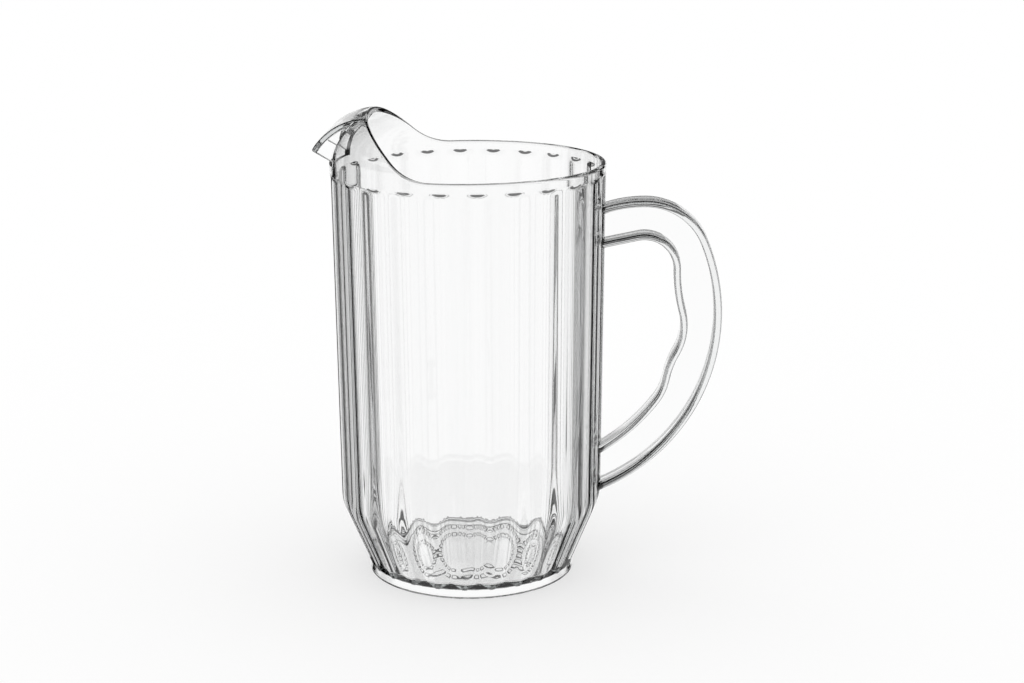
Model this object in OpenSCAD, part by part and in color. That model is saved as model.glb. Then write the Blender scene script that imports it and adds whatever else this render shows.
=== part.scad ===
// Clear beer pitcher: fluted tapering cup on a foot ring, hooded pouring spout, open I-section handle.
// The spout points to -X and the handle to +X. The table is z = 0 and the cup's axis is Z.

/* [Cup] */
// Height of the rim above the table
rim_h = 195.5; // [160:0.5:230]
// Outside diameter at the rim
rim_d = 127; // [110:0.5:145]
// Wall thickness across a flute's crest
cup_wall = 2.8; // [2:0.1:4]
// Draft of the upper wall, in degrees
draft_deg = 0.65; // [0.5:0.05:2]
// Height at which the wall turns in towards the foot
shoulder_h = 36; // [28:0.5:50]
// Radius of that turn
shoulder_r = 24; // [6:0.5:30]
// Height of the hollow under the floor
floor_h = 4; // [2:0.1:6]
// Thickness of the floor
floor_t = 2.8; // [2:0.1:4]
// Radius between the floor and the wall inside
floor_fillet = 2; // [1:0.5:8]

/* [Flutes] */
// Number of flutes around the cup
flute_count = 24; // [16:2:32]
// Depth of the groove between two flutes
flute_depth = 1.2; // [0.5:0.1:1.6]
// Height of the plain band under the rim
band_h = 4.5; // [2:0.5:12]
// Height over which each groove runs out below the band
groove_end_h = 1.8; // [0.8:0.1:5]

/* [Foot ring] */
// Outside diameter of the foot ring
foot_d = 97; // [84:0.2:104]
// Width of the ring that the pitcher stands on
foot_w = 3.4; // [2.4:0.1:5]
// Rounding of the ring's lower edges
foot_round = 0.9; // [0.4:0.1:1.1]
// Height to which the ring fills the grooves
foot_fill_h = 7.4; // [6.2:0.1:9]
// How far the ring stands out from the flutes' crests
foot_lip = 0.2; // [0.1:0.1:0.6]

/* [Spout hood] */
// Radius of the hood's dome, outside
hood_r = 24.1; // [18:0.1:30]
// Slope of the hood's free edge, in degrees
hood_edge_deg = 48; // [42:0.5:52]
// Distance from the front of the rim back to where the free edge meets it
hood_l = 40; // [35:0.1:44]
// Radius of the sweep from the rim into the free edge
hood_sweep_r = 24; // [8:0.5:30]

/* [Spout beak] */
// Width of the beak
beak_w = 41; // [32:0.5:50]
// Wall of the beak
beak_wall = 2; // [1.6:0.1:2.6]
// Radius of the beak's arched roof
roof_r = 30.5; // [28:0.1:34]
// Distance from the front of the rim back to the centre of the roof's arch
roof_in = 20.3; // [18:0.1:23]
// Drop of that centre below the rim
roof_drop = 8.3; // [5:0.1:10]
// Height of the beak's front edge above the rim
beak_lip_h = 7.5; // [5:0.1:10]
// Slope of the beak's open underside, in degrees
beak_slope_deg = 30; // [20:0.5:36]
// Distance from the front of the rim back to the top of the pouring window
window_in = 7; // [5:0.1:9]

/* [Handle] */
// Width of both rails
rail_w = 12.5; // [9:0.1:15]
// Rounding of the rails' long edges
rail_round = 1.2; // [0.4:0.1:1.5]
// Thickness of the web between the rails
web_t = 3; // [1.6:0.1:5]

/* [Outer rail] */
// Thickness of the outer rail
outer_t = 3.7; // [3.2:0.1:5]
// Height at which the outer rail leaves the wall
outer_root_h = 174; // [165:0.5:182]
// Rise of the outer rail where it leaves the wall, in degrees
outer_rise_deg = 18; // [10:0.5:25]
// Radius of its rise
outer_rise_r = 59; // [40:0.5:75]
// Radius of its knuckle
outer_knuckle_r = 29.5; // [24:0.5:36]
// Turn of its knuckle, in degrees
outer_knuckle_deg = 68; // [60:0.5:76]
// Radius of its back
outer_back_r = 91; // [80:0.5:102]
// Turn of its back, in degrees
outer_back_deg = 88; // [80:0.5:95]

/* [Inner rail] */
// Thickness of the inner rail
inner_t = 3.4; // [3.2:0.1:4.5]
// Height at which the inner rail leaves the wall
inner_root_h = 157.9; // [152:0.1:163]
// Rise of the inner rail where it leaves the wall, in degrees
inner_rise_deg = 12; // [6:0.5:18]
// Length of its straight rise
inner_rise_l = 15.4; // [10:0.1:20]
// Radius of its knuckle
inner_knuckle_r = 15.1; // [12:0.1:18]
// Radius of the hollow for the first finger
first_finger_r = 77; // [50:0.5:110]
// Turn of that hollow, in degrees
first_finger_deg = 15; // [8:0.5:22]
// Radius of the swell between the fingers
swell_r = 27; // [18:0.5:38]
// Turn of the swell, in degrees
swell_deg = 44; // [36:0.5:52]
// Radius of the hollow below the swell
dip_r = 42; // [30:0.5:60]
// Turn of that hollow, in degrees
dip_deg = 18; // [10:0.5:26]
// Radius of the heel
heel_r = 27.3; // [18:0.1:40]
// Turn of the heel, in degrees
heel_deg = 26; // [18:0.5:34]
// Radius of the tail that runs back to the wall
tail_r = 94; // [70:0.5:120]
// Turn of the tail, in degrees
tail_deg = 20; // [14:0.5:26]

/* [Hidden] */
clear_plastic = [0.86, 0.89, 0.9, 0.45];
$fn = 96;

rim_r = rim_d / 2;
foot_r = foot_d / 2;
floor_top = floor_h + floor_t;
hood_edge_x = rim_r - hood_l;
roof_x = rim_r - roof_in;
window_x = rim_r - window_in;
// Straight facets across one flute, along a rounded corner and along a rail's rounded edge
flute_steps = 6;
corner_steps = 6;
round_steps = 2;
// How far cutting shapes run past what they cut
past = 1;
// How far the rails run on inside the wall before they are trimmed to it
root_run = 14;

// Radius over a flute's crest on the upper wall
function wall_r(z) = rim_r - (rim_h - z) * tan(draft_deg);

// A corner b, between a and c, rounded with radius r
function corner(a, b, c, r, n = corner_steps) =
    let (u = (a - b) / norm(a - b), v = (c - b) / norm(c - b))
    let (half = acos(u * v) / 2, mid = (u + v) / norm(u + v))
    let (centre = b + mid * r / sin(half))
    let (from = b + u * r / tan(half) - centre, to = b + v * r / tan(half) - centre)
    let (turn = acos(from * to / (r * r)), side = sign(from.x * to.y - from.y * to.x))
    [for (i = [0:n])
        let (t = side * turn * i / n)
        centre + [from.x * cos(t) - from.y * sin(t), from.x * sin(t) + from.y * cos(t)]];

// Crest line of the cup, as radius and height, from the foot to the groove ends
crest_foot = [foot_r - foot_lip, floor_h];
crest_shoulder = [wall_r(shoulder_h), shoulder_h];
groove_top = rim_h - band_h;
crest_line = concat(
    [crest_foot],
    corner(crest_foot, crest_shoulder, [wall_r(rim_h), rim_h], shoulder_r),
    [[wall_r(groove_top - groove_end_h), groove_top - groove_end_h]]);
band_line = [[wall_r(groove_top), groove_top], [rim_r, rim_h]];

// One turn round the cup: the flutes are a smooth wave, with a crest on +X
turn_steps = flute_count * flute_steps;
function across_flute(i) = 2 * ((i / flute_steps + 0.5) % 1) - 1;
function ring_point(p, depth, i) =
    let (a = 360 * i / turn_steps, r = p[0] - depth * (1 - cos(180 * across_flute(i + turn_steps))) / 2)
    [r * cos(a), r * sin(a), p[1]];
function ring(p, depth, steps) = [for (i = steps) ring_point(p, depth, i)];

// A solid skinned over rings of points that run the same way round
module skin(rings) {
    count = len(rings[0]);
    last = len(rings) - 1;
    polyhedron(
        points = [for (r = rings) each r],
        faces = concat(
            [[for (i = [0:count - 1]) i]],
            [for (j = [0:last - 1], i = [0:count - 1])
                each [[j * count + i, (j + 1) * count + i, j * count + (i + 1) % count],
                      [j * count + (i + 1) % count, (j + 1) * count + i, (j + 1) * count + (i + 1) % count]]],
            [[for (i = [count - 1:-1:0]) last * count + i]]));
}

// The outside of the cup as a solid, with its grooves
module cup_solid() {
    steps = [0:turn_steps - 1];
    skin(concat(
        [for (p = crest_line) ring(p, flute_depth, steps)],
        [for (p = band_line) ring(p, 0, steps)]));
}

// The flute on +X that carries the handle and those beside it, as a wedge from the cup's axis
module handle_flutes() {
    steps = [-1.5 * flute_steps:1.5 * flute_steps];
    skin(concat(
        [for (p = crest_line) concat([[0, 0, p[1]]], ring(p, flute_depth, steps))],
        [for (p = band_line) concat([[0, 0, p[1]]], ring(p, 0, steps))]));
}

// The inside of the cup
module cup_hollow() {
    foot_in = [foot_r - cup_wall, floor_h];
    shoulder_in = [wall_r(shoulder_h) - cup_wall, shoulder_h];
    slope = (shoulder_in.x - foot_in.x) / (shoulder_in.y - foot_in.y);
    floor_edge = [foot_in.x + slope * floor_t, floor_top];
    rotate_extrude()
        polygon(concat(
            [[0, floor_top]],
            corner([0, floor_top], floor_edge, shoulder_in, floor_fillet),
            corner(floor_edge, shoulder_in, [rim_r - cup_wall, rim_h], shoulder_r),
            [[rim_r - cup_wall, rim_h], [rim_r - cup_wall, rim_h + past], [0, rim_h + past]]));
}

module body() {
    color(clear_plastic)
        difference() {
            cup_solid();
            cup_hollow();
        }
}

// The ring's upper edge follows the flutes, because each flute swells out over it
module foot_ring() {
    color(clear_plastic)
        difference() {
            rotate_extrude()
                translate([foot_r - foot_w, 0]) {
                    translate([foot_round, 0])
                        square([foot_w - 2 * foot_round, foot_fill_h]);
                    translate([0, foot_round])
                        square([foot_w, foot_fill_h - foot_round]);
                    for (x = [foot_round, foot_w - foot_round])
                        translate([x, foot_round])
                            circle(r = foot_round);
                }
            skin([for (p = [crest_line[0], crest_line[1]]) ring(p, flute_depth, [0:turn_steps - 1])]);
        }
}

// The dome of the hood, seen in section beside the axis, with the rim at height 0
module dome_section(r) {
    intersection() {
        translate([rim_r - hood_r, 0])
            circle(r = r);
        translate([rim_r - hood_r, 0])
            square(hood_r);
    }
}

// Side view of everything on the spout's side of the hood's free edge
module hood_side() {
    reach = rim_r + hood_r;
    top = 2 * hood_r;
    lead = hood_sweep_r * tan(hood_edge_deg / 2);
    on_rim = [lead - hood_edge_x, 0];
    on_edge = [-hood_edge_x - lead * cos(hood_edge_deg), lead * sin(hood_edge_deg)];
    difference() {
        polygon([[-reach, 0], on_rim, on_edge, [-hood_edge_x - top / tan(hood_edge_deg), top], [-reach, top]]);
        translate([on_rim.x, hood_sweep_r])
            circle(r = hood_sweep_r);
    }
}

// A side view carried across the whole width w, upright and centred on the cup
module across(w) {
    rotate([90, 0, 0])
        linear_extrude(w, center = true)
            children();
}

module spout_hood() {
    inside_w = beak_w - 2 * beak_wall;
    color(clear_plastic)
        translate([0, 0, rim_h])
            difference() {
                intersection() {
                    rotate([0, 0, 90])
                        rotate_extrude(angle = 180)
                            difference() {
                                dome_section(hood_r);
                                dome_section(hood_r - cup_wall);
                            }
                    across(2 * rim_r + past)
                        hood_side();
                }
                translate([-window_x - hood_r, -inside_w / 2, -past])
                    cube([hood_r, inside_w, hood_r + past]);
            }
}

// Side view of the beak's arch of radius r, above its sloping open underside
module beak_side(r) {
    lip = [-roof_x - sqrt(pow(roof_r, 2) - pow(beak_lip_h + roof_drop, 2)), beak_lip_h];
    run = 2 * roof_r;
    intersection() {
        translate([-roof_x, -roof_drop])
            circle(r = r);
        hood_side();
        polygon([
            [lip.x - run, lip.y + run * tan(beak_slope_deg)],
            [lip.x + run, lip.y - run * tan(beak_slope_deg)],
            [lip.x + run, run],
            [lip.x - run, run]]);
    }
}

module spout_beak() {
    color(clear_plastic)
        translate([0, 0, rim_h])
            difference() {
                across(beak_w)
                    beak_side(roof_r);
                across(beak_w - 2 * beak_wall)
                    beak_side(roof_r - beak_wall);
                rotate_extrude() {
                    dome_section(hood_r);
                    square([rim_r - hood_r, hood_r]);
                }
            }
}

// The handle's two paths from the wall out and back: each step is a turn and a radius, or no turn and a length
outer_path = [[0, root_run], [-outer_rise_deg, outer_rise_r], [-outer_knuckle_deg, outer_knuckle_r],
              [-outer_back_deg, outer_back_r], [0, root_run]];
inner_path = [[0, root_run + inner_rise_l], [-90 - inner_rise_deg, inner_knuckle_r],
              [first_finger_deg, first_finger_r], [-swell_deg, swell_r], [dip_deg, dip_r],
              [-heel_deg, heel_r], [-tail_deg, tail_r], [0, root_run]];
function turned(p, a) = [p.x * cos(a) - p.y * sin(a), p.x * sin(a) + p.y * cos(a)];
function step_end(s, share = 1) =
    s[0] == 0 ? [s[1] * share, 0] :
    s[1] * [sin(abs(s[0]) * share), sign(s[0]) * (1 - cos(s[0] * share))];

// Points along a path, each with its heading, about one every path_deg of turn
path_deg = 4;
function path_frames(path, at, heading, k = 0) =
    k == len(path) ? [[at, heading]] :
    let (s = path[k], n = max(1, ceil(abs(s[0]) / path_deg)))
    concat(
        [for (i = [0:n - 1]) [at + turned(step_end(s, i / n), heading), heading + s[0] * i / n]],
        path_frames(path, at + turned(step_end(s), heading), heading + s[0], k + 1));
function rail_frames(path, root_h, rise_deg) =
    path_frames(path, [wall_r(root_h), root_h] - root_run * [cos(rise_deg), sin(rise_deg)], rise_deg);
outer_frames = rail_frames(outer_path, outer_root_h, outer_rise_deg);
inner_frames = rail_frames(inner_path, inner_root_h, inner_rise_deg);

// The line that runs beside a path, to its left by the distance side
function beside(frames, side) = [for (f = frames) f[0] + turned([0, side], f[1])];

// A rail's section, thickness by width, with rounded corners
function rail_section(t) = [
    for (k = [0:3], i = [0:round_steps])
        let (q = [k == 0 || k == 3 ? 1 : -1, k < 2 ? 1 : -1], a = 90 * (k + i / round_steps))
        [q.x * (t / 2 - rail_round), q.y * (rail_w / 2 - rail_round)] + rail_round * [cos(a), sin(a)]];

module rail_bar(frames, t) {
    skin([for (f = frames)
        [for (q = rail_section(t))
            let (p = f[0] + turned([0, q.x], f[1]))
            [p.x, -q.y, p.y]]]);
}

module handle_outer_rail() {
    color(clear_plastic)
        difference() {
            rail_bar(outer_frames, outer_t);
            handle_flutes();
        }
}

module handle_inner_rail() {
    color(clear_plastic)
        difference() {
            rail_bar(inner_frames, inner_t);
            handle_flutes();
        }
}

// The web fills the side view from the inside of the outer rail to the outside of the inner rail
module handle_web() {
    outer_edge = beside(outer_frames, -outer_t / 2);
    inner_edge = beside(inner_frames, inner_t / 2);
    color(clear_plastic)
        difference() {
            across(web_t)
                polygon(concat(outer_edge, [for (i = [len(inner_edge) - 1:-1:0]) inner_edge[i]]));
            handle_flutes();
        }
}

body();
foot_ring();
spout_hood();
spout_beak();
handle_outer_rail();
handle_inner_rail();
handle_web();
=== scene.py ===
import bpy
import bmesh
from math import acos, asin, atan2, cos, hypot, pi, radians, sin, sqrt, tan
from mathutils import Matrix, Vector


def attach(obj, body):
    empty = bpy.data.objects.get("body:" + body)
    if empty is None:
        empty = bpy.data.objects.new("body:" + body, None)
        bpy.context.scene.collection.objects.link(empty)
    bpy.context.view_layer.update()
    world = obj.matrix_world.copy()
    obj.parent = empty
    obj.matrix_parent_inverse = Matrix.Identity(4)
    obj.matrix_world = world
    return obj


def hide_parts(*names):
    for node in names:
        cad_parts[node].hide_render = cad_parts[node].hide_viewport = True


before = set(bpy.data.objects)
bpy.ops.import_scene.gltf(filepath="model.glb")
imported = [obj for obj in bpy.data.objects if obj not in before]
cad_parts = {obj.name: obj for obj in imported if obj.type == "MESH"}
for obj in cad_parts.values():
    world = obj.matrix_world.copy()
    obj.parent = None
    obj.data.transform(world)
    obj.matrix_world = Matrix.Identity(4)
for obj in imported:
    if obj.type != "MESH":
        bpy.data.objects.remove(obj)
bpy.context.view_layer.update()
scene = bpy.context.scene
mm = 0.001  # the pieces are drawn in millimetres and scaled once at the end

# Camera at the photograph's angle
viewpoint = dict(lens=72.98, sensor=36, roll=-0.247,
                 place=(65.85, -941.10, 349.56), target=(19.8, 1.0, 109.8))


def placeCamera(spec):
    camData = bpy.data.cameras.new("photoCamera")
    camData.lens = spec["lens"]
    camData.sensor_width = spec["sensor"]
    cam = bpy.data.objects.new("photoCamera", camData)
    scene.collection.objects.link(cam)
    cam.location = Vector(spec["place"]) * mm
    look = Vector(spec["target"]) - Vector(spec["place"])
    level = look.to_track_quat("-Z", "Y").to_matrix().to_4x4()
    cam.rotation_euler = (level @ Matrix.Rotation(radians(spec["roll"]), 4, "Z")).to_euler()
    scene.camera = cam


placeCamera(viewpoint)
print("camera placed")


# Small drawing helpers
def drawLine(bm, points):
    # a chain of edges, drawn by extruding one vertex from point to point
    chain = [bm.verts.new(points[0])]
    for point in points[1:]:
        grown = bmesh.ops.extrude_vert_indiv(bm, verts=[chain[-1]])
        grown["verts"][0].co = point
        chain.append(grown["verts"][0])
    return chain


def picked(geom, kind):
    return [g for g in geom if isinstance(g, kind)]


def carryAcross(bm, outline, width):
    # a side-view outline of x and z, carried across y
    face = bm.faces.new(drawLine(bm, [(p.x, -width / 2, p.y) for p in outline]))
    grown = bmesh.ops.extrude_face_region(bm, geom=[face])["geom"]
    bmesh.ops.translate(bm, vec=(0, width, 0), verts=picked(grown, bmesh.types.BMVert))


def rounded(a, b, c, radius, steps):
    # the corner b between a and c, as points on an arc
    a, b, c = Vector(a), Vector(b), Vector(c)
    u, v = (a - b).normalized(), (c - b).normalized()
    half = acos(u.dot(v)) / 2
    centre = b + (u + v).normalized() * radius / sin(half)
    start = b + u * radius / tan(half) - centre
    end = b + v * radius / tan(half) - centre
    sweep = start.angle_signed(end)
    return [centre + Matrix.Rotation(-sweep * i / steps, 2) @ start for i in range(steps + 1)]


def ahead(heading):
    return Vector((cos(heading), sin(heading)))


def leftOf(heading):
    return Vector((-sin(heading), cos(heading)))


def finishMesh(bm, name):
    bmesh.ops.recalc_face_normals(bm, faces=bm.faces)
    mesh = bpy.data.meshes.new(name)
    bm.to_mesh(mesh)
    bm.free()
    obj = bpy.data.objects.new(name, mesh)
    scene.collection.objects.link(obj)
    return obj


def joinPieces(obj, steps):
    # boolean steps of operation and tool, baked into the mesh
    for operation, tool in steps:
        mod = obj.modifiers.new("join", "BOOLEAN")
        mod.operation = operation
        mod.solver = "EXACT"
        mod.object = tool
    graph = bpy.context.evaluated_depsgraph_get()
    mesh = bpy.data.meshes.new_from_object(obj.evaluated_get(graph))
    obj.modifiers.clear()
    old, obj.data = obj.data, mesh
    bpy.data.meshes.remove(old)
    for operation, tool in steps:
        bpy.data.objects.remove(tool)


# The cup: floor, foot ring, fluted wall, rim and hood in one turned skin
cup = dict(rimH=195.5, rimR=63.5, wall=2.8, draft=0.65, shoulderH=36, shoulderRound=24, shoulderSteps=10,
           floorH=4, floorT=2.8, floorRound=2, floorSteps=6, flutes=24, fluteDepth=1.2, fluteSteps=16,
           bandH=4.5, grooveEnd=3.2, rampSteps=7, rimRound=1.35, rimSteps=5, weld=1e-4)
# where its plain rows lie: radii under and on the floor, heights outside and inside
cupRings = dict(under=(0, 10, 18), underEdge=39, coneTop=12, coneShares=(0.2, 0.45, 0.7, 1), cone=(17, 23, 29),
                wall=(45, 60, 80, 100, 120, 140, 160, 175, 185), inside=(175, 150, 120, 90, 60),
                floor=(36, 27, 18, 9, 0))
foot = dict(outerR=48.5, width=3.4, round=0.9, roundSteps=5, lip=0.2, inset=0.6, insetSteps=4, sideH=2.4)
hood = dict(domeR=24.1, edgeDeg=48, length=40, sweepR=24, rows=18)
# plain pads under the floor: each ring's radius, length and count
pads = dict(rings=((24, 4, 24), (33.5, 5, 32)), height=0.7, soft=0.8, share=0.3, edge=8)

floorTop = cup["floorH"] + cup["floorT"]
grooveTop = cup["rimH"] - cup["bandH"]
taper = (cup["rimH"] - cup["shoulderH"]) * tan(radians(cup["draft"]))
crestFoot = Vector((foot["outerR"] - foot["lip"], cup["floorH"]))
crestShoulder = Vector((cup["rimR"] - taper, cup["shoulderH"]))
crestRim = Vector((cup["rimR"], cup["rimH"]))
shoulderArc = rounded(crestFoot, crestShoulder, crestRim, cup["shoulderRound"], cup["shoulderSteps"])
crestLine = [crestFoot] + shoulderArc + [crestRim]
coneSlope = (crestShoulder.x - crestFoot.x) / (crestShoulder.y - crestFoot.y)


def along(points, z):
    # radius at height z on a rising line of points
    for low, high in zip(points, points[1:]):
        if z <= high.y:
            return low.x + (high.x - low.x) * (z - low.y) / (high.y - low.y)
    return points[-1].x


def groove(azimuth):
    # the flutes are a smooth wave with a crest on +X
    acrossFlute = 2 * ((azimuth * cup["flutes"] / (2 * pi) + 0.5) % 1) - 1
    return cup["fluteDepth"] * (1 - cos(pi * acrossFlute)) / 2


# Where the hood's free edge runs: the dome's angle at each azimuth, found by halving
edgeX = cup["rimR"] - hood["length"]
lead = hood["sweepR"] * tan(radians(hood["edgeDeg"] / 2))
sweepStart = lead - edgeX
sweepEndZ = lead * sin(radians(hood["edgeDeg"]))
domeRing = cup["rimR"] - hood["domeR"]


def freeEdgeX(z):
    if z < sweepEndZ:
        return sweepStart - sqrt(hood["sweepR"] ** 2 - (hood["sweepR"] - z) ** 2)
    return -edgeX - z / tan(radians(hood["edgeDeg"]))


def underHood(azimuth, t):
    outside = -(domeRing + hood["domeR"] * cos(t)) * cos(azimuth)
    return outside < freeEdgeX(hood["domeR"] * sin(t))


def hoodAngle(azimuth):
    low, high = 0.0, pi / 2
    if not underHood(azimuth, 1e-4):
        return 0.0
    for i in range(40):
        mid = (low + high) / 2
        low, high = (mid, high) if underHood(azimuth, mid) else (low, mid)
    return low


def edgeLength(a):
    # how far the hood's free edge lies above the rim, along the outside
    return hoodAngle(a - pi) * hood["domeR"] if cos(a) < 0 else 0.0


def station(q, depth):
    # a point of the wall or dome: q is the distance above the rim, depth the distance inside the skin
    if q < 0:
        z = cup["rimH"] + q
        return along(crestLine, z) - depth, z
    t = q / hood["domeR"]
    r = hood["domeR"] - depth
    return domeRing + r * cos(t), cup["rimH"] + r * sin(t)


def bandPoint(a, share, depth):
    # the band and hood, by share of the way from the grooves to the free edge
    span = edgeLength(a) - cup["rimRound"] + cup["bandH"]
    return station(-cup["bandH"] + span * share, depth)


def edgePoint(q, p):
    # a point of the rounded rim: p is the depth from the outside and the height over the edge
    r, z = station(q, p[0])
    if q < 1e-6:
        return r, z + p[1]
    t = q / hood["domeR"]
    return r + sin(t) * -p[1], z + cos(t) * p[1]


def rampPoint(a, w):
    # the groove runs out in a hollow ramp, steepest under the band; w goes from its foot to its top
    z = grooveTop - cup["grooveEnd"] * (1 - w)
    return along(crestLine, z) - groove(a) * (1 - w * w), z


def scallop(a):
    # height at which the fluted cone comes out over the foot ring
    return cup["floorH"] + (foot["lip"] + groove(a)) / coneSlope


def conePoint(a, w):
    z = scallop(a) + (cupRings["coneTop"] - scallop(a)) * w
    return along(crestLine, z) - groove(a), z


def padDrop(a, count):
    across = a * count / (2 * pi) % 1
    return pads["height"] * min(1, max(0, (pads["share"] - abs(across - 0.5)) * pads["edge"] + 0.5))


def cupRows():
    # each row of the skin as a function of azimuth, from under the floor round to the top of the floor
    rows = []
    floorH, wall, inner = cup["floorH"], cup["wall"], foot["outerR"] - foot["width"]

    def plain(r, z):
        rows.append(lambda a: (r, z))

    def corner(points):
        for p in points:
            plain(p.x, p.y)

    # underside with its pads
    for r in cupRings["under"]:
        plain(r, floorH)
    for middle, length, count in pads["rings"]:
        start, end = middle - length / 2, middle + length / 2
        plain(start, floorH)
        for r in (start + pads["soft"], end - pads["soft"]):
            rows.append(lambda a, r=r, count=count: (r, floorH - padDrop(a, count)))
        plain(end, floorH)
    plain(cupRings["underEdge"], floorH)
    # foot ring
    ringIn, ringOut = (inner, 0), (foot["outerR"], 0)
    corner(rounded((0, floorH), (inner, floorH), ringIn, foot["inset"], foot["insetSteps"]))
    corner(rounded((inner, floorH), ringIn, ringOut, foot["round"], foot["roundSteps"]))
    corner(rounded(ringIn, ringOut, (foot["outerR"], floorH), foot["round"], foot["roundSteps"]))
    plain(foot["outerR"], foot["sideH"])
    rows.append(lambda a: (foot["outerR"], scallop(a)))
    # fluted cone, shoulder and wall, with the groove ends
    for w in cupRings["coneShares"]:
        rows.append(lambda a, w=w: conePoint(a, w))
    for z in [*cupRings["cone"], *(p.y for p in shoulderArc), *cupRings["wall"]]:
        rows.append(lambda a, z=z: (along(crestLine, z) - groove(a), z))
    for i in range(cup["rampSteps"] + 1):
        rows.append(lambda a, w=i / cup["rampSteps"]: rampPoint(a, w))
    # band and hood, over the rounded rim and down again
    for i in range(1, hood["rows"] + 1):
        rows.append(lambda a, s=i / hood["rows"]: bandPoint(a, s, 0))
    outside = rounded((0, -1), (0, 0), (wall, 0), cup["rimRound"], cup["rimSteps"])
    inside = rounded((0, 0), (wall, 0), (wall, -1), cup["rimRound"], cup["rimSteps"])
    for p in outside[1:] + inside[:-1]:
        rows.append(lambda a, p=p: edgePoint(edgeLength(a), p))
    for i in range(hood["rows"], -1, -1):
        rows.append(lambda a, s=i / hood["rows"]: bandPoint(a, s, wall))
    # smooth inner wall and floor
    footIn = Vector((foot["outerR"] - wall, floorH))
    shoulderIn = crestShoulder - Vector((wall, 0))
    rimIn = crestRim - Vector((wall, 0))
    floorEdge = footIn.lerp(shoulderIn, cup["floorT"] / (shoulderIn.y - footIn.y))
    for z in cupRings["inside"]:
        plain(along([shoulderIn, rimIn], z), z)
    corner(reversed(rounded(floorEdge, shoulderIn, rimIn, cup["shoulderRound"], cup["shoulderSteps"])))
    corner(reversed(rounded((0, floorTop), floorEdge, shoulderIn, cup["floorRound"], cup["floorSteps"])))
    for r in cupRings["floor"]:
        plain(r, floorTop)
    return rows


def makeCup():
    bm = bmesh.new()
    mark = bm.verts.layers.int.new("row")
    rows = cupRows()
    points = [row(0.0) for row in rows]
    for i, v in enumerate(drawLine(bm, [(r, 0, z) for r, z in points])):
        v[mark] = i
    turnSteps = cup["flutes"] * cup["fluteSteps"]
    bmesh.ops.spin(bm, geom=bm.verts[:] + bm.edges[:], cent=(0, 0, 0), axis=(0, 0, 1), angle=2 * pi,
                   steps=turnSteps, use_merge=True)
    for v in bm.verts:
        a = round(atan2(v.co.y, v.co.x) / (2 * pi) * turnSteps) * 2 * pi / turnSteps
        r, z = rows[v[mark]](a)
        v.co = (r * cos(a), r * sin(a), z)
    bmesh.ops.remove_doubles(bm, verts=bm.verts, dist=cup["weld"])
    bm.verts.layers.int.remove(bm.verts.layers.int["row"])
    return finishMesh(bm, "pitcher")


pitcher = makeCup()
print("cup turned:", len(pitcher.data.polygons), "faces")

# The beak: an arched sheet of roof and cheeks in front of the window, open underneath
beak = dict(width=41, wall=2, soft=0.92, softSteps=4, foldDeg=50, roofR=30.5, roofIn=20.3, roofDrop=8.3,
            roofSteps=24, crestDrop=1.3, rootDeg=50, rootStep=4, lipH=7.5, slopeDeg=30, windowIn=7,
            windowGap=0.1, bury=1.2, buriedBy=0.5)


def beakOutline():
    # side view: the arch from the lip to the crest, then down inside the hood's wall to the sloping underside
    centre = Vector((-(cup["rimR"] - beak["roofIn"]), cup["rimH"] - beak["roofDrop"]))
    lipTurn = pi - asin((beak["lipH"] + beak["roofDrop"]) / beak["roofR"])
    back = freeEdgeX(beak["roofR"] - beak["roofDrop"]) - beak["bury"]
    backTurn = acos((back - centre.x) / beak["roofR"])
    arch = beak["roofSteps"]
    turns = [lipTurn + (backTurn - lipTurn) * i / arch for i in range(arch + 1)]
    outline = [centre + beak["roofR"] * ahead(t) for t in turns]
    lip, crest = outline[0], outline[-1]
    outline.append(Vector((crest.x, crest.y - beak["crestDrop"] * beak["wall"])))
    middle = hood["domeR"] - cup["wall"] / 2
    side = (beak["width"] - beak["wall"]) / 2
    for degrees in range(beak["rootDeg"], 0, -beak["rootStep"]):
        t = radians(degrees)
        x = -sqrt((domeRing + middle * cos(t)) ** 2 - side ** 2)
        z = cup["rimH"] + middle * sin(t)
        underside = lip.y - (x - lip.x) * tan(radians(beak["slopeDeg"]))
        outline.append(Vector((x, max(z, underside))))
        if z < underside:
            break
    return outline


def makeBeak():
    bm = bmesh.new()
    carryAcross(bm, beakOutline(), beak["width"])
    bmesh.ops.recalc_face_normals(bm, faces=bm.faces)
    flat = [f for f in bm.faces if abs(f.normal.y) < 0.5]
    openSides = [f for f in flat if f.normal.x > 0.4 or f.normal.z < -0.3]  # the back and the underside
    bmesh.ops.delete(bm, geom=openSides, context="FACES")
    bmesh.ops.solidify(bm, geom=bm.faces[:], thickness=beak["wall"])
    bmesh.ops.recalc_face_normals(bm, faces=bm.faces)

    def buried(v):
        reach = hypot(hypot(v.co.x, v.co.y) - domeRing, v.co.z - cup["rimH"])
        return reach < hood["domeR"] - beak["buriedBy"]

    folds = [e for e in bm.edges if e.calc_face_angle(0) > radians(beak["foldDeg"])]
    bmesh.ops.bevel(bm, geom=[e for e in folds if not all(buried(v) for v in e.verts)], offset=beak["soft"],
                    affect="EDGES", segments=beak["softSteps"], profile=0.5, material=-1)
    return finishMesh(bm, "beak")


def makeWindow():
    size = hood["domeR"]
    opening = 2 * (beak["width"] / 2 - beak["wall"] - beak["windowGap"])
    middle = (-(cup["rimR"] - beak["windowIn"]) - size / 2, 0, cup["rimH"] + size / 2)
    bm = bmesh.new()
    bmesh.ops.create_cube(bm, size=1)
    bmesh.ops.scale(bm, vec=(size, opening, size), verts=bm.verts)
    bmesh.ops.translate(bm, vec=middle, verts=bm.verts)
    return finishMesh(bm, "window")


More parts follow.
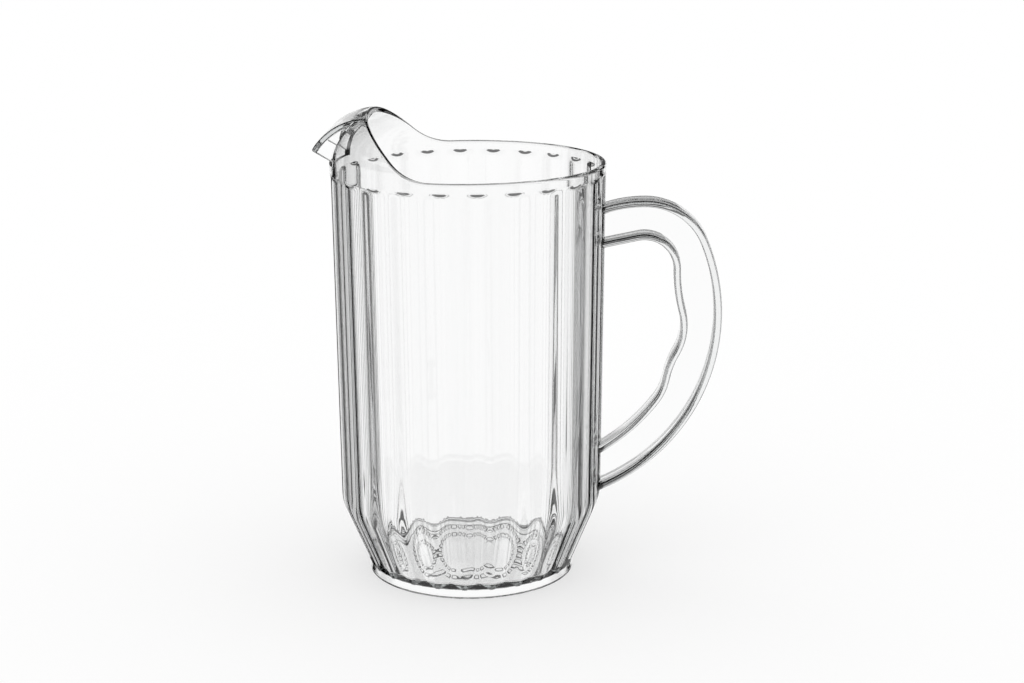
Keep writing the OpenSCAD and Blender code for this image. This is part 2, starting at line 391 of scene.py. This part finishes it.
# The handle: two rails swept along arcs, each a turn in degrees and a radius, and the web between them
rails = dict(width=12.5, round=1.6, roundSteps=5, bury=1.9, stub=4, stepDeg=2, webT=3)
outerRail = dict(thick=3.7, rootH=174, riseDeg=18, path=[(0, 0), (-18, 59), (-68, 29.5), (-88, 91), (0, 0)])
innerRail = dict(thick=3.4, rootH=157.9, riseDeg=12, path=[(0, 15.4), (-102, 15.1), (15, 77), (-44, 27),
                                                           (18, 42), (-26, 27.3), (-20, 94), (0, 0)])


def railFrames(spec):
    # points and headings along the rail's middle line, from inside the wall out and back
    heading = radians(spec["riseDeg"])
    at = Vector((along(crestLine, spec["rootH"]), spec["rootH"]))
    frames = [(at - ahead(heading) * rails["stub"], heading), (at, heading)]
    for turn, size in spec["path"]:
        if turn == 0:  # a straight run
            if size:
                at = at + ahead(heading) * size
                frames.append((at, heading))
            continue
        side = 1 if turn > 0 else -1
        centre = at + leftOf(heading) * side * size
        steps = max(2, round(abs(turn) / rails["stepDeg"]))
        for i in range(1, steps + 1):
            h = heading + radians(turn) * i / steps
            frames.append((centre - leftOf(h) * side * size, h))
        at, heading = frames[-1]
    frames.append((at + ahead(heading) * rails["stub"], heading))
    # the first and last points move along their headings to lie inside the wall
    for k in (0, -1):
        at, heading = frames[k]
        target = along(crestLine, at.y) - rails["bury"]
        frames[k] = (at + ahead(heading) * (target - at.x) / cos(heading), heading)
    return frames


def sweepRail(name, spec):
    bm = bmesh.new()
    frames = railFrames(spec)
    bmesh.ops.create_grid(bm, x_segments=1, y_segments=1, size=0.5)
    bmesh.ops.scale(bm, vec=(spec["thick"], rails["width"], 1), verts=bm.verts)
    bmesh.ops.bevel(bm, geom=bm.verts[:], offset=rails["round"], affect="VERTICES",
                    segments=rails["roundSteps"], profile=0.5, material=-1)
    section = bm.faces[:][0]
    ring = [v.co.copy() for v in section.verts]
    loop = section.verts[:]
    bmesh.ops.delete(bm, geom=[section], context="FACES_ONLY")
    edges = bm.edges[:]
    for k, (at, heading) in enumerate(frames):
        if k:
            grown = bmesh.ops.extrude_edge_only(bm, edges=edges)["geom"]
            edges = [e for e in picked(grown, bmesh.types.BMEdge) if all(v in grown for v in e.verts)]
            loop = [[e.other_vert(v) for e in v.link_edges if e.other_vert(v) in grown][0] for v in loop]
        for v, p in zip(loop, ring):
            spot = at + leftOf(heading) * p.x
            if k in (0, len(frames) - 1):  # the ends are cut upright
                spot = spot + ahead(heading) * (at.x - spot.x) / cos(heading)
            v.co = (spot.x, p.y, spot.y)
    bmesh.ops.holes_fill(bm, edges=bm.edges)
    return finishMesh(bm, name)


def makeWeb():
    outer = [at for at, heading in railFrames(outerRail)]
    inner = [at for at, heading in railFrames(innerRail)]
    bm = bmesh.new()
    carryAcross(bm, outer + inner[::-1], rails["webT"])
    return finishMesh(bm, "handleWeb")


# One moulding: all of it is joined, welded and brought to metres
moulding = dict(weld=2e-4, sharpDeg=24)


def finishPitcher(spec):
    bm = bmesh.new()
    bm.from_mesh(pitcher.data)
    bmesh.ops.remove_doubles(bm, verts=bm.verts, dist=spec["weld"])
    bmesh.ops.scale(bm, vec=(mm, mm, mm), verts=bm.verts)
    bm.to_mesh(pitcher.data)
    openEdges = sum(1 for e in bm.edges if len(e.link_faces) != 2)
    bm.free()
    pitcher.data.shade_smooth()
    pitcher.data.set_sharp_from_angle(angle=radians(spec["sharpDeg"]))
    even = pitcher.modifiers.new("evenNormals", "WEIGHTED_NORMAL")  # keeps the flats of the rails flat
    even.keep_sharp = True
    print("pitcher joined:", len(pitcher.data.polygons), "faces,", openEdges, "open edges")


joinPieces(pitcher, [("DIFFERENCE", makeWindow()), ("UNION", makeBeak()),
                     ("UNION", sweepRail("outerRail", outerRail)), ("UNION", sweepRail("innerRail", innerRail)),
                     ("UNION", makeWeb())])
finishPitcher(moulding)


# Shader maths
class Wire:
    # one output of a shader tree, used as a number in sums
    def __init__(self, tree, socket=None):
        self.tree, self.socket = tree, socket

    def node(self, kind, settings=None, inputs=None, output=0, stops=()):
        made = self.tree.nodes.new(kind)
        for key, value in (settings or {}).items():
            setattr(made, key, value)
        for k, (spot, level) in enumerate(stops):
            stop = made.color_ramp.elements[k] if k < 2 else made.color_ramp.elements.new(spot)
            stop.position, stop.color = spot, (level, level, level, 1)
        for key, value in (inputs or {}).items():
            if isinstance(value, Wire):
                self.tree.links.new(value.socket, made.inputs[key])
            else:
                made.inputs[key].default_value = value
        return Wire(self.tree, made.outputs[output] if made.outputs else None)

    def beside(self, output):
        # another output of the same node
        return Wire(self.tree, self.socket.node.outputs[output])

    def maths(self, operation, a, b=0.0):
        return self.node("ShaderNodeMath", {"operation": operation}, {0: a, 1: b})

    def __add__(self, other):
        return self.maths("ADD", self, other)

    def __sub__(self, other):
        return self.maths("SUBTRACT", self, other)

    def __rsub__(self, other):
        return self.maths("SUBTRACT", other, self)

    def __mul__(self, other):
        return self.maths("MULTIPLY", self, other)

    def __truediv__(self, other):
        return self.maths("DIVIDE", self, other)

    __radd__, __rmul__ = __add__, __mul__

    def ramp(self, low, high, lowValue=0.0, highValue=1.0):
        # a soft step from lowValue to highValue between low and high
        return self.node("ShaderNodeMapRange", {"interpolation_type": "SMOOTHSTEP"}, {
            "Value": self, "From Min": low, "From Max": high, "To Min": lowValue, "To Max": highValue})


def newMaterial(name):
    mat = bpy.data.materials.new(name)
    mat.use_nodes = True
    mat.node_tree.nodes.clear()
    return mat, Wire(mat.node_tree)


clearFinish = dict(ior=1.57, tint=(1, 1, 1, 1), haze=0.02, hazeScale=45, hazeFrom=(0.5, 0.75), hazeDetail=4.0,
                   ripple=0.015, rippleScale=70, rippleDetail=1.0, stretch=0.2,
                   depthColour=(0.3, 0.34, 0.34, 1), depth=14)


def clearPlastic(spec):
    mat, w = newMaterial("clearPlastic")
    place = w.node("ShaderNodeTexCoord", None, None, "Object")
    # faint handling haze, and flow ripples drawn out along the height
    wear = w.node("ShaderNodeTexNoise", None, {
        "Vector": place, "Scale": spec["hazeScale"], "Detail": spec["hazeDetail"]})
    drawn = w.node("ShaderNodeMapping", None, {"Vector": place, "Scale": (1, 1, spec["stretch"])})
    ripple = w.node("ShaderNodeTexNoise", None, {
        "Vector": drawn, "Scale": spec["rippleScale"], "Detail": spec["rippleDetail"]})
    bump = w.node("ShaderNodeBump", None, {"Strength": spec["ripple"], "Distance": mm, "Height": ripple})
    shader = w.node("ShaderNodeBsdfPrincipled", None, {
        "Base Color": spec["tint"], "Roughness": wear.ramp(*spec["hazeFrom"], 0.0, spec["haze"]),
        "IOR": spec["ior"], "Transmission Weight": 1.0, "Normal": bump})
    depth = w.node("ShaderNodeVolumeAbsorption", None, {
        "Color": spec["depthColour"], "Density": spec["depth"]})
    w.node("ShaderNodeOutputMaterial", None, {"Surface": shader, "Volume": depth})
    return mat


pitcher.data.materials.clear()
pitcher.data.materials.append(clearPlastic(clearFinish))
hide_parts("body", "foot_ring", "spout_hood", "spout_beak",
            "handle_outer_rail", "handle_inner_rail", "handle_web")
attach(pitcher, "root")
print("plastic on")

# Studio: pale floor, soft light all round, and dark flags that only the clear plastic sees
# levels by bearing from the backdrop's middle, and by height, both in degrees
studio = dict(floorSize=6, floorCells=12, floorGlow=0.6, floorColour=0.4, turn=-2.8,
              around=((0, 1), (23.5, 1), (25.5, 0), (36.5, 0), (38.5, 0.65), (53, 0.65),
                      (57, 0.01), (75, 0.01), (82, 1)),
              upward=((3, 1), (4.5, 0.15), (13, 0.15), (14.5, 1), (18.5, 1), (20.5, 0)),
              downward=((-84, 1), (-82, 0), (-67, 0), (-64, 0.35), (-43, 0.35), (-37, 1)),
              front=(24, 36), flagFoot=(-52, -44))


def makeFloor(spec):
    bm = bmesh.new()
    bmesh.ops.create_grid(bm, x_segments=spec["floorCells"], y_segments=spec["floorCells"],
                          size=spec["floorSize"] / 2)
    floor = finishMesh(bm, "studioFloor")
    mat, w = newMaterial("paleFloor")
    plain = w.node("ShaderNodeBsdfDiffuse", None, {"Color": (spec["floorColour"],) * 3 + (1,)})
    glow = w.node("ShaderNodeEmission", None, {"Color": (1, 1, 1, 1), "Strength": spec["floorGlow"]})
    both = w.node("ShaderNodeAddShader", None, {0: plain, 1: glow})
    w.node("ShaderNodeOutputMaterial", None, {"Surface": both})
    floor.data.materials.append(mat)
    floor.visible_transmission = False
    floor.visible_glossy = False


def makeWorld(spec):
    world = bpy.data.worlds.new("studioLight")
    world.use_nodes = True
    scene.world = world
    world.node_tree.nodes.clear()
    w = Wire(world.node_tree)
    path = w.node("ShaderNodeLightPath")
    seenThrough = w.maths("MAXIMUM", path.beside("Is Glossy Ray"), path.beside("Is Transmission Ray"))
    coords = w.node("ShaderNodeTexCoord", None, None, "Generated")
    split = w.node("ShaderNodeSeparateXYZ", None, {"Vector": coords})
    x, y, z = (split.beside(k) for k in range(3))
    # bearing runs from 0 to 1 over half a turn, and height from 0 straight down to 1 straight up
    bearing = w.maths("ABSOLUTE", w.maths("ARCTAN2", x, y) / pi - spec["turn"] / 180)
    height = w.maths("ARCSINE", z) / pi + 0.5

    def levels(value, stops, shift):
        spots = [(degrees / 180 + shift, level) for degrees, level in stops]
        return w.node("ShaderNodeValToRGB", None, {0: value}, stops=spots)

    # a bright window with dark flags beside it that end above the floor, under a dark lid
    flags = ((height - 0.5) * 180).ramp(*spec["flagFoot"], 1.0, 0.0)
    across = w.maths("MAXIMUM", levels(bearing, spec["around"], 0), flags)
    upright = levels(height, spec["upward"], 0.5)
    # a dim zone low down, in front only
    low = w.maths("MAXIMUM", levels(height, spec["downward"], 0.5), (bearing * 180).ramp(*spec["front"]))
    level = 1 - seenThrough * (1 - across * upright * low)
    back = w.node("ShaderNodeBackground", None, {"Color": (1, 1, 1, 1), "Strength": level})
    w.node("ShaderNodeOutputWorld", None, {"Surface": back})


makeFloor(studio)
makeWorld(studio)
scene.view_settings.view_transform = "Standard"
print("studio lit")
